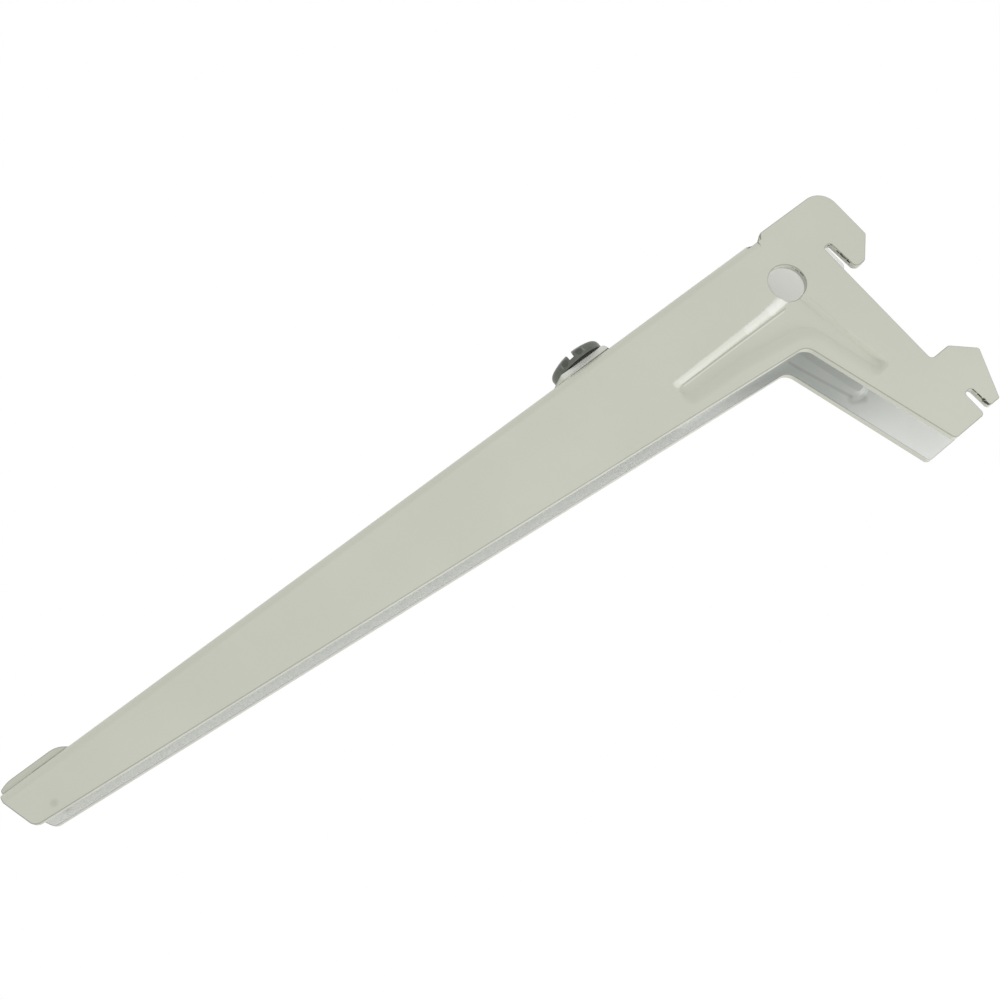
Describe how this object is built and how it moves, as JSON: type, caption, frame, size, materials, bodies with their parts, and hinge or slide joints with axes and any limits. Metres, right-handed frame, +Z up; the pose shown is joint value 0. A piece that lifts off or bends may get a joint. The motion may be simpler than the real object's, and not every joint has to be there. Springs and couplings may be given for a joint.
{
  "type": "slotted shelf bracket",
  "caption": "Folded sheet-steel shelf bracket: tapering U channel arm, hooked rear legs for a slotted wall rail, a raised screw pad and a raised nose at the tip.",
  "frame": {"origin": "midway between the two walls, on the plane where their rear edges bear on the rail, at the height of the web's top face", "axes": "+X along the arm from the rail to the tip, +Z up from the web towards the shelf, +Y across the channel"},
  "size_m": [0.2404, 0.0176, 0.0755],
  "materials": {
    "coated_sheet": "pale warm grey coating, satin",
    "dark_screw": "dark grey phosphated steel, satin"
  },
  "bodies": {
    "root": {"bracket_body": "coated_sheet", "shelf_screw": "dark_screw"}
  },
  "joints": []
}
